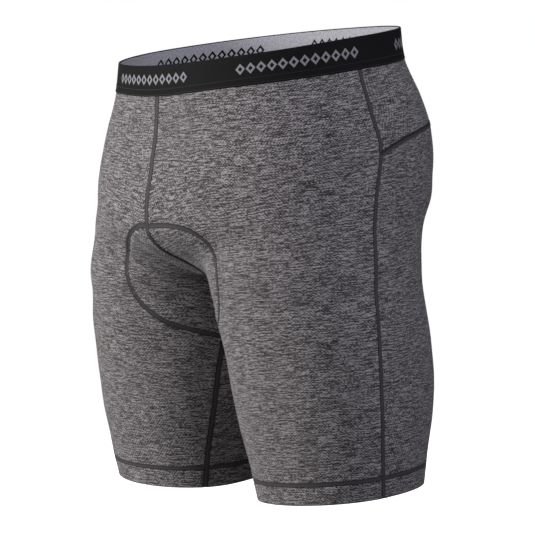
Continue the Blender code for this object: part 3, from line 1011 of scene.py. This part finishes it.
def band_material(name, ground, figure, start):
    """Jacquard elastic, woven of polyester over rubber, with groups of small lozenges.

    To the eye it is flat and dense, with a fine grain of picks that run up and down, and a woven
    figure whose edges are as crisp as the grain. The inside is the same weave the other way out.
    """
    sizes = bpy.context.scene.shorts_sizes
    material, tree, surface_socket = new_material(name)
    place = add_node(tree, "UVMap", {}, uv_map=CLOTH_MAP)
    apart = add_node(tree, "SeparateXYZ", {"Vector": place})

    # Place within a group of lozenges, and then within one lozenge, both in metres
    shifted = add_node(tree, "Math", {0: apart.outputs["X"], 1: start}, operation="SUBTRACT")
    group_pitch = sizes.band_length / sizes.band_groups
    in_group = add_node(tree, "Math", {0: shifted, 1: group_pitch}, operation="FLOORED_MODULO")
    in_cell = add_node(tree, "Math", {0: in_group, 1: sizes.lozenge_width}, operation="FLOORED_MODULO")
    aside = add_node(tree, "Math", {0: in_cell, 1: sizes.lozenge_width / 2}, operation="SUBTRACT")
    aside = add_node(tree, "Math", {0: aside}, operation="ABSOLUTE")
    above = add_node(tree, "Math", {0: apart.outputs["Y"], 1: LOZENGE_RAISE}, operation="SUBTRACT")
    above = add_node(tree, "Math", {0: above}, operation="ABSOLUTE")
    squash = sizes.lozenge_width / sizes.lozenge_height
    above = add_node(tree, "Math", {0: above, 1: squash}, operation="MULTIPLY")
    from_centre = add_node(tree, "Math", {0: aside, 1: above}, operation="ADD")

    # The lozenge is a frame of yarn round an open middle
    middle = sizes.lozenge_width * FRAME_MIDDLE
    half = sizes.lozenge_width * FRAME_HALF
    outline = add_node(tree, "Math", {0: from_centre, 1: middle, 2: half}, operation="COMPARE")
    row_length = sizes.lozenge_width * sizes.lozenges - 0.0001
    in_row = add_node(tree, "Math", {0: in_group, 1: row_length}, operation="LESS_THAN")
    woven = add_node(tree, "Math", {0: outline, 1: in_row}, operation="MULTIPLY")

    # Picks. Real ones are 0.4 mm apart, and are drawn 1.1 mm apart with broken noise over them.
    picks = add_node(
        tree, "VectorMath", {0: place, 1: (1 / PICK_WIDTH, 1 / PICK_LENGTH, 1.0)}, operation="MULTIPLY"
    )
    noise = add_node(
        tree, "TexNoise", {"Vector": picks, "Scale": 1.0, "Detail": 2.0}, noise_dimensions="2D"
    )
    shades = []
    for yarn, darker, lighter in ((ground, 0.72, 1.30), (figure, 0.80, 1.12)):
        shade = add_node(tree, "ValToRGB", {"Fac": noise})
        dark_and_light = [[channel * share for channel in yarn] for share in (darker, lighter)]
        colour_stops(shade, tuple(zip((0.25, 0.75), dark_and_light)))
        shades.append(shade)
    colour = add_node(tree, "Mix", {0: woven, 6: shades[0], 7: shades[1]}, data_type="RGBA")
    raised = add_node(tree, "Math", {0: woven, 1: 0.5, 2: noise}, operation="MULTIPLY_ADD")
    bump = add_node(tree, "Bump", {"Height": raised, "Strength": 0.5, "Distance": 0.0004})
    shader = add_node(
        tree,
        "BsdfPrincipled",
        {
            "Base Color": colour.outputs[2],
            "Normal": bump,
            "Roughness": 0.8,
            "Specular IOR Level": 0.15,
            "Sheen Weight": 0.02,
            "Sheen Roughness": 0.5,
        },
    )
    tree.links.new(shader.outputs["BSDF"], surface_socket)
    return material


# Sizes and colours that a user would change


def length_property(name, description, default, least, most):
    """Return a property that holds a length in metres."""
    return FloatProperty(
        name=name, description=description, default=default,
        min=least, max=most, unit="LENGTH", precision=4,
    )


def colour_property(name, description, code):
    """Return a property that holds a colour, whose default is an sRGB hex colour."""
    return FloatVectorProperty(
        name=name, description=description, default=linear(code), subtype="COLOR", min=0, max=1
    )


class ShortsSizes(bpy.types.PropertyGroup):
    cloth_thickness: length_property(
        "Jersey thickness", "Thickness of the single jersey", 0.0012, 0.0005, 0.003
    )
    hem_thickness: length_property(
        "Hem thickness", "Thickness of the leg where the hem is turned up inside", 0.0020, 0.001, 0.005
    )
    hem_height: length_property(
        "Hem height", "Height of the turned hem, up to its cover stitch", 0.0185, 0.01, 0.04
    )
    band_thickness: length_property(
        "Waistband thickness", "Thickness of the woven elastic", 0.0020, 0.001, 0.003
    )
    band_length: length_property(
        "Waistband length",
        "Length of the elastic all round as worn, which the groups of lozenges divide",
        0.8583, 0.6, 1.2,
    )
    band_groups: IntProperty(
        name="Groups of lozenges",
        description="How many groups of lozenges the waistband has all round",
        default=5, min=1, max=12,
    )
    lozenges: IntProperty(
        name="Lozenges in a group",
        description="How many lozenges stand side by side in a group",
        default=12, min=1, max=20,
    )
    lozenge_width: length_property(
        "Lozenge width", "Width of one woven lozenge along the band", 0.0099, 0.004, 0.03
    )
    lozenge_height: length_property("Lozenge height", "Height of one woven lozenge", 0.0116, 0.004, 0.025)
    streak_length: length_property(
        "Streak length", "Usual length of a dark or light streak in the heather yarn", 0.020, 0.004, 0.05
    )
    stitch_pitch: length_property(
        "Stitch pitch", "Distance between knitted loops as drawn", 0.0029, 0.0006, 0.004
    )
    seam_width: length_property("Seam width", "Width of the flatlock seams", 0.0052, 0.002, 0.008)
    pad_seam_width: length_property(
        "Pad stitch width", "Width of the cover stitch round the pad", 0.0062, 0.002, 0.01
    )


class ShortsColours(bpy.types.PropertyGroup):
    jersey_dark: colour_property("Dark yarn", "The darkest fibres of the heather jersey", "393536")
    jersey_middle: colour_property("Middle yarn", "The usual grey of the heather jersey", "6b686a")
    jersey_light: colour_property("Light yarn", "The lightest fibres of the heather jersey", "b3b0b4")
    # Painted shade: the near-black colour that darkens the seams' edges, where the stitches pull into the
    # cloth
    thread_painted_shade: colour_property(
        "Thread in the seam's edges", "The sewing thread where it pulls into the cloth", "19181a"
    )
    thread_light: colour_property(
        "Thread on top", "The sewing thread where it lies on the seam", "4c4a4d"
    )
    band_thread: colour_property(
        "Thread on the waistband", "The black thread that holds the waistband to the cloth", "1c1c1d"
    )
    band_outside: colour_property("Waistband outside", "The black ground of the waistband", "18181a")
    band_inside: colour_property("Waistband inside", "The pale inside of the waistband", "b9b9c3")
    lozenge: colour_property("Lozenges", "The pale yarn of the lozenges on the outside", "a2a2aa")


# The pieces

# Steps along a row of sewing, outside and inside
SEAM_STEP = 0.0008
INSIDE_STEP = 0.0014

# How far the yoke seam's pale middle leans down, away from its upper edge with its painted shadow of the
# overlapping layer, as a share of half its width
YOKE_SHADOW_LEAN = 0.45

# Levels of the two rows of stitches over the waistband's lower edge, and how far they sink into it
BAND_STITCH_LEVELS = (("low", 0.0012), ("high", 0.0066))
BAND_STITCH_SINK = 0.0001

# Where the groups of lozenges stand along the band outside and inside: the middle of the first one
OUTSIDE_GROUP = -0.017
INSIDE_GROUP = 0.081

# Points round each rounded edge of the band, and how near two points are one
BAND_FOLD_POINTS = 5
SAME_POINT = 0.00001

# How far the tops of the fronts and the yoke lie over the band's lower edge
UNDER_BAND = 0.0005

# Width and height of a row of sewing, its thread ridges, its stitch length, how much its edge is
# toothed by the stitches, and how many points are across it
Sewing = namedtuple("Sewing", "width height ridges stitch tooth points")


def sewing_looks():
    """Return the look of each kind of sewing."""
    sizes = bpy.context.scene.shorts_sizes
    return {
        "seam": Sewing(sizes.seam_width, 0.00075, 2, 0.0026, 0.06, 11),
        "middle": Sewing(sizes.seam_width * 1.35, 0.00090, 3, 0.0026, 0.06, 13),
        "inseam": Sewing(sizes.seam_width * 1.2, 0.00085, 3, 0.0026, 0.06, 13),
        "yoke": Sewing(sizes.seam_width * 1.05, 0.00105, 3, 0.0026, 0.06, 13),
        "pad": Sewing(sizes.pad_seam_width, 0.00080, 2, 0.0024, 0.10, 13),
        "hem": Sewing(sizes.seam_width * 1.05, 0.00065, 2, 0.0028, 0.08, 11),
        "band": Sewing(0.0014, 0.00030, 1, 0.0030, 0.10, 7),
    }


def both_faces():
    """Return the ending of names, the step and the cloth's thickness for sewing outside and inside."""
    return (("", SEAM_STEP, 0.0), ("_inside", INSIDE_STEP, bpy.context.scene.shorts_sizes.cloth_thickness))


class MakeFronts(bpy.types.Operator):
    """Make the left and right fronts of jersey, from the middle seam to the side seams"""

    bl_idname = "shorts.fronts"
    bl_label = "Fronts"

    def execute(self, context):
        sizes = context.scene.shorts_sizes
        top = crowded_levels([BAND_BOTTOM + UNDER_BAND], ROWS_ABOVE_CROTCH)
        level = np.concatenate([top, leg_levels(sizes.hem_height)])
        share = spread_shares(FRONT_COLUMNS)[None, :]
        outer, normals = front_half(level, share)
        level = np.broadcast_to(level, outer.shape[:2])
        thickness = wall_thickness(level, sizes)
        for word, side in (("left", 1), ("right", -1)):
            name = f"front_{word}"
            args = (outer, normals, level, thickness, side, jersey_material(), True)
            piece = make_panel(f"{name}_jersey", *args)
            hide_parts(name)
        return {"FINISHED"}


class MakeBacks(bpy.types.Operator):
    """Make the left and right backs of jersey, from the side seams to the back seam"""

    bl_idname = "shorts.backs"
    bl_label = "Backs"

    def execute(self, context):
        sizes = context.scene.shorts_sizes
        share = spread_shares(BACK_COLUMNS)[None, :]
        top = crowded_levels(yoke_level(share[0]) - SEAM_GAP / 2, ROWS_ABOVE_CROTCH)
        legs = np.repeat(leg_levels(sizes.hem_height), BACK_COLUMNS, axis=1)
        level = np.concatenate([top, legs])
        outer, normals = back_half(level, share)
        thickness = wall_thickness(level, sizes)
        for word, side in (("left", 1), ("right", -1)):
            name = f"back_{word}"
            args = (outer, normals, level, thickness, side, jersey_material())
            piece = make_panel(f"{name}_jersey", *args)
            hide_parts(name)
        return {"FINISHED"}


class MakeYoke(bpy.types.Operator):
    """Make the back yoke of jersey, one piece from side seam to side seam below the waistband"""

    bl_idname = "shorts.yoke"
    bl_label = "Back yoke"

    def execute(self, context):
        sizes = context.scene.shorts_sizes
        share = spread_shares(BACK_COLUMNS)[None, :]
        top = BAND_BOTTOM + UNDER_BAND
        down = np.linspace(0, 1, YOKE_ROWS + 1)[:, None]
        level = top + (yoke_level(share) + SEAM_GAP / 2 - top) * down
        outer, normals = back_half(level, share)
        outer[:, -1, 0] = 0.0
        normals[:, -1, 0] = 0.0
        outer = np.concatenate([outer, outer[:, -2::-1] * (-1, 1, 1)], axis=1)
        normals = np.concatenate([normals, normals[:, -2::-1] * (-1, 1, 1)], axis=1)
        level = np.concatenate([level, level[:, -2::-1]], axis=1)
        thickness = np.full(level.shape, sizes.cloth_thickness)
        piece = make_panel("yoke_jersey", outer, normals, level, thickness, 1, jersey_material())
        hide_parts("yoke")
        return {"FINISHED"}


def band_ring(level):
    """Return points and normals of the waistband's line in the cloth all round, at rows of levels."""
    share = spread_shares(BACK_COLUMNS)[None, :]
    halves = [
        np.concatenate([front, back[:, 1:]], axis=1)
        for front, back in zip(front_half(level, share), back_half(level, share))
    ]
    for part in halves:
        part[:, [0, -1], 0] = 0.0
    return [np.concatenate([part, part[:, -2:0:-1] * (-1, 1, 1)], axis=1) for part in halves]


class MakeWaistband(bpy.types.Operator):
    """Make the woven elastic waistband, black outside and pale inside, with rounded edges"""

    bl_idname = "shorts.waistband"
    bl_label = "Waistband"

    def execute(self, context):
        sizes = context.scene.shorts_sizes
        colours = context.scene.shorts_colours
        radius = sizes.band_thickness / 2
        level = np.linspace(BAND_TOP - radius, BAND_BOTTOM + radius, BAND_ROWS)[:, None]
        cloth, normals = band_ring(level)
        centre = cloth + normals * (BAND_PROUD - radius)

        # A cross-section: down the outside, round the lower edge, up the inside, round the top edge
        turns = np.linspace(0, np.pi, BAND_FOLD_POINTS + 2)[1:-1]
        down = centre[-1] - centre[-2]
        down /= np.linalg.norm(down, axis=-1, keepdims=True)
        up = centre[0] - centre[1]
        up /= np.linalg.norm(up, axis=-1, keepdims=True)
        lower = [centre[-1] + radius * (normals[-1] * np.cos(t) + down * np.sin(t)) for t in turns]
        upper = [centre[0] + radius * (up * np.sin(t) - normals[0] * np.cos(t)) for t in turns]
        outside = centre + radius * normals
        inside = (centre - radius * normals)[::-1]
        points = np.concatenate([outside, lower, inside, upper])

        around = arc_length(np.concatenate([cloth[:1], cloth[:1, :1]], axis=1), axis=1)[0]
        around = around / around[-1] * sizes.band_length
        low, high = np.full(len(turns), BAND_BOTTOM), np.full(len(turns), BAND_TOP)
        heights = np.concatenate([level[:, 0], low, level[::-1, 0], high])
        rows, columns = points.shape[:2]
        # One column more closes the ring, so that the map doesn't run back through it
        points = np.concatenate([points, points[:, :1]], axis=1)
        places = np.stack(np.meshgrid(around, heights), axis=-1)
        faces = grid_faces(rows, columns + 1, wrap_rows=True).tolist()
        row_of_face = np.repeat(np.arange(rows), columns)
        first_inside = BAND_ROWS + len(turns)
        is_inside = (row_of_face >= first_inside) & (row_of_face < first_inside + BAND_ROWS - 1)

        half = sizes.lozenge_width * sizes.lozenges / 2
        faces_of_band = (
            ("elastic_jacquard_outside", colours.band_outside, colours.lozenge, OUTSIDE_GROUP - half),
            ("elastic_jacquard_inside", colours.band_inside, colours.band_outside, INSIDE_GROUP - half),
        )
        materials = [band_material(*face) for face in faces_of_band]
        piece = mesh_object("waistband_elastic", points, faces, materials, CLOTH_MAP, places, is_inside)
        weld = piece.modifiers.new("close the ring", "WELD")
        weld.merge_threshold = SAME_POINT
        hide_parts("waistband")
        return {"FINISHED"}


class MakeSeams(bpy.types.Operator):
    """Sew the flatlock seams: middle, sides, inseams and yoke, outside and inside"""

    bl_idname = "shorts.seams"
    bl_label = "Flatlock seams"

    def execute(self, context):
        looks = sewing_looks()
        for suffix, step, inside in both_faces():
            lines = sewn_lines(step)
            rows = (
                ("middle_seam", lines["middle"], "middle"),
                ("yoke_seam", joined_to_mirror(lines["yoke"], lines["yoke"], False), "yoke"),
                ("side_seam_left", lines["side"], "seam"),
                ("side_seam_right", mirrored(lines["side"]), "seam"),
                ("inseam_left", lines["inseam"], "inseam"),
                ("inseam_right", mirrored(lines["inseam"]), "inseam"),
            )
            for name, line, look in rows:
                # The yoke seam gets a broader line of painted shadow along its upper edge
                thread = thread_material(shadow_lean=YOKE_SHADOW_LEAN if look == "yoke" else 0.0)
                piece = make_ribbon(f"{name}{suffix}", line, looks[look], thread, inside)
        return {"FINISHED"}


class MakeHemStitching(bpy.types.Operator):
    """Sew the cover stitch round both hems, outside and inside"""

    bl_idname = "shorts.hem_stitching"
    bl_label = "Hem stitching"

    def execute(self, context):
        look = sewing_looks()["hem"]
        for suffix, step, inside in both_faces():
            line = sewn_lines(step)["hem"]
            for word, half in (("left", line), ("right", mirrored(line))):
                name = f"hem_stitching_{word}{suffix}"
                piece = make_ribbon(name, half, look, thread_material(), inside)
        return {"FINISHED"}


class MakePadStitching(bpy.types.Operator):
    """Sew the cover stitch that shows where the seat pad is sewn in, outside and inside"""

    bl_idname = "shorts.pad_stitching"
    bl_label = "Pad stitching"

    def execute(self, context):
        look = sewing_looks()["pad"]
        for suffix, step, inside in both_faces():
            lines = sewn_lines(step)
            ring = joined_to_mirror(lines["pad"], lines["pad_right"], True)
            piece = make_ribbon(f"pad_stitching{suffix}", ring, look, thread_material(), inside)
        return {"FINISHED"}


class MakeBandStitching(bpy.types.Operator):
    """Sew the two rows of stitches that hold the waistband to the cloth"""

    bl_idname = "shorts.band_stitching"
    bl_label = "Waistband stitching"

    def execute(self, context):
        look = sewing_looks()["band"]
        for name, rise in BAND_STITCH_LEVELS:
            points, normals = band_ring(np.array([[BAND_BOTTOM + rise]]))
            line = evenly(points[0], normals[0], SEAM_STEP, closed=True)
            args = (line, look, thread_material("band_thread"), 0.0, BAND_PROUD - BAND_STITCH_SINK, False)
            piece = make_ribbon(f"waistband_stitching_{name}", *args)
        return {"FINISHED"}


# The flat size that each panel was cut to, for one layer of cloth: width, length and area
Cut = namedtuple("Cut", "piece width length area sewn")


class DeclareCloth(bpy.types.Operator):
    """Do nothing: no piece is said here to be a sheet of cloth, and no flat sizes are given"""

    bl_idname = "shorts.declare_cloth"
    bl_label = "Flat sizes"

    def execute(self, context):
        return {"FINISHED"}


# The studio


def area_light(name, place, size, power, colour):
    """Return a square soft light that looks at the middle of the shorts."""
    light = bpy.data.lights.new(name, "AREA")
    light.size = size
    light.energy = power
    light.color = colour
    lamp = bpy.data.objects.new(name, light)
    lamp.location = place
    lamp.rotation_mode = "QUATERNION"
    lamp.rotation_quaternion = (Vector(CAMERA_TARGET) - Vector(place)).to_track_quat("-Z", "Y")
    bpy.context.scene.collection.objects.link(lamp)
    return lamp


# Each light's place, size, power and colour
Light = namedtuple("Light", "name place size power colour")
LIGHTS = (
    Light("key_left_of_the_camera", (-1.28, -1.94, 0.28), 1.2, 52.5, "fffcf9"),
    Light("top_light_above_the_camera", (0.9, -1.8, 1.4), 1.3, 12.0, "fffbfb"),
    Light("fill_from_the_wearers_left", (2.6, 0.4, 1.1), 1.6, 29.0, "f3f3ff"),
    Light("fill_from_behind_the_wearers_right", (-2.0, 1.5, 0.9), 1.8, 17.0, "f6f6ff"),
)


class MakeStudio(bpy.types.Operator):
    """Make the pale floor, the soft lights, the pale surroundings and the camera"""

    bl_idname = "shorts.studio"
    bl_label = "Studio"

    def execute(self, context):
        self.make_floor()
        self.make_surroundings(context.scene)
        for light in LIGHTS:
            area_light(light.name, light.place, light.size, light.power, linear(light.colour))
        self.make_camera(context.scene)
        context.scene.view_settings.view_transform = "Standard"
        return {"FINISHED"}

    def make_floor(self):
        """Make a pale floor that is clear from below, so that a low camera still sees the cloth."""
        mesh = bpy.data.meshes.new("studio_floor")
        ways = ((-1, -1), (1, -1), (1, 1), (-1, 1))
        corners = [(x * FLOOR_HALF, y * FLOOR_HALF, FLOOR_LEVEL) for x, y in ways]
        mesh.from_pydata(corners, [], [(0, 1, 2, 3)])
        floor = bpy.data.objects.new("studio_floor", mesh)
        bpy.context.scene.collection.objects.link(floor)
        material, tree, surface_socket = new_material("painted_studio_floor")
        side = add_node(tree, "NewGeometry", {})
        mottle = add_node(tree, "TexNoise", {"Scale": 3.0, "Detail": 4.0})
        paint = add_node(tree, "ValToRGB", {"Fac": mottle})
        colour_stops(paint, ((0.3, linear("f3f3f3")), (0.7, linear("f8f8f8"))))
        shader = add_node(
            tree,
            "BsdfPrincipled",
            {
                "Base Color": paint,
                "Roughness": 0.8,
                "Specular IOR Level": 0.2,
                "Emission Color": (1.0, 1.0, 1.0, 1.0),
                "Emission Strength": 0.97,
            },
        )
        clear = add_node(tree, "BsdfTransparent", {})
        both = add_node(tree, "MixShader", {0: side.outputs["Backfacing"], 1: shader, 2: clear})
        tree.links.new(both.outputs[0], surface_socket)
        mesh.materials.append(material)
        floor.visible_diffuse = False
        floor.visible_glossy = False

    def make_surroundings(self, scene):
        """Make the air round the shorts pale to the camera, and a soft even light to the cloth."""
        world = bpy.data.worlds.new("pale_studio")
        world.use_nodes = True
        tree = world.node_tree
        tree.nodes.clear()
        ray = add_node(tree, "LightPath", {})
        strength = add_node(
            tree, "MapRange", {"Value": ray.outputs["Is Camera Ray"], "To Min": 0.06, "To Max": 1.0}
        )
        sky = add_node(tree, "Background", {"Color": (*linear("ffffff"), 1), "Strength": strength})
        add_node(tree, "OutputWorld", {"Surface": sky})
        scene.world = world

    def make_camera(self, scene):
        """Put the camera where the picture was taken from."""
        azimuth, pitch = np.radians(CAMERA_AZIMUTH), np.radians(CAMERA_PITCH)
        back = Vector((np.sin(azimuth) * np.cos(pitch), -np.cos(azimuth) * np.cos(pitch), np.sin(pitch)))
        right = Vector((np.cos(azimuth), np.sin(azimuth), 0.0))
        data = bpy.data.cameras.new("camera")
        data.lens = CAMERA_LENS
        data.sensor_width = 36.0
        data.clip_start = 0.1
        data.clip_end = 50.0
        camera = bpy.data.objects.new("camera", data)
        camera.location = Vector(CAMERA_TARGET) + back * CAMERA_DISTANCE + right * CAMERA_SIDESTEP
        camera.rotation_mode = "QUATERNION"
        camera.rotation_quaternion = (-back).to_track_quat("-Z", "Y")
        scene.collection.objects.link(camera)
        scene.camera = camera


# The add-on


OPERATORS = (
    MakeStudio,
    MakeWaistband,
    MakeFronts,
    MakeBacks,
    MakeYoke,
    MakeSeams,
    MakeHemStitching,
    MakePadStitching,
    MakeBandStitching,
    DeclareCloth,
)


class ShortsPanel(bpy.types.Panel):
    """The shorts' pieces, sizes and colours"""

    bl_idname = "VIEW3D_PT_shorts"
    bl_label = "Cycling shorts"
    bl_space_type = "VIEW_3D"
    bl_region_type = "UI"
    bl_category = "Shorts"

    def draw(self, context):
        layout = self.layout
        for operator in OPERATORS:
            layout.operator(operator.bl_idname)
        for group in (context.scene.shorts_sizes, context.scene.shorts_colours):
            box = layout.box()
            for name in group.__annotations__:
                box.prop(group, name)


CLASSES = (ShortsSizes, ShortsColours, *OPERATORS, ShortsPanel)


def register():
    for item in CLASSES:
        bpy.utils.register_class(item)
    bpy.types.Scene.shorts_sizes = PointerProperty(type=ShortsSizes)
    bpy.types.Scene.shorts_colours = PointerProperty(type=ShortsColours)


def unregister():
    del bpy.types.Scene.shorts_colours
    del bpy.types.Scene.shorts_sizes
    for item in reversed(CLASSES):
        bpy.utils.unregister_class(item)


def main():
    register()
    for operator in OPERATORS:
        group, name = operator.bl_idname.split(".")
        getattr(getattr(bpy.ops, group), name)()


if __name__ == "__main__":
    main()
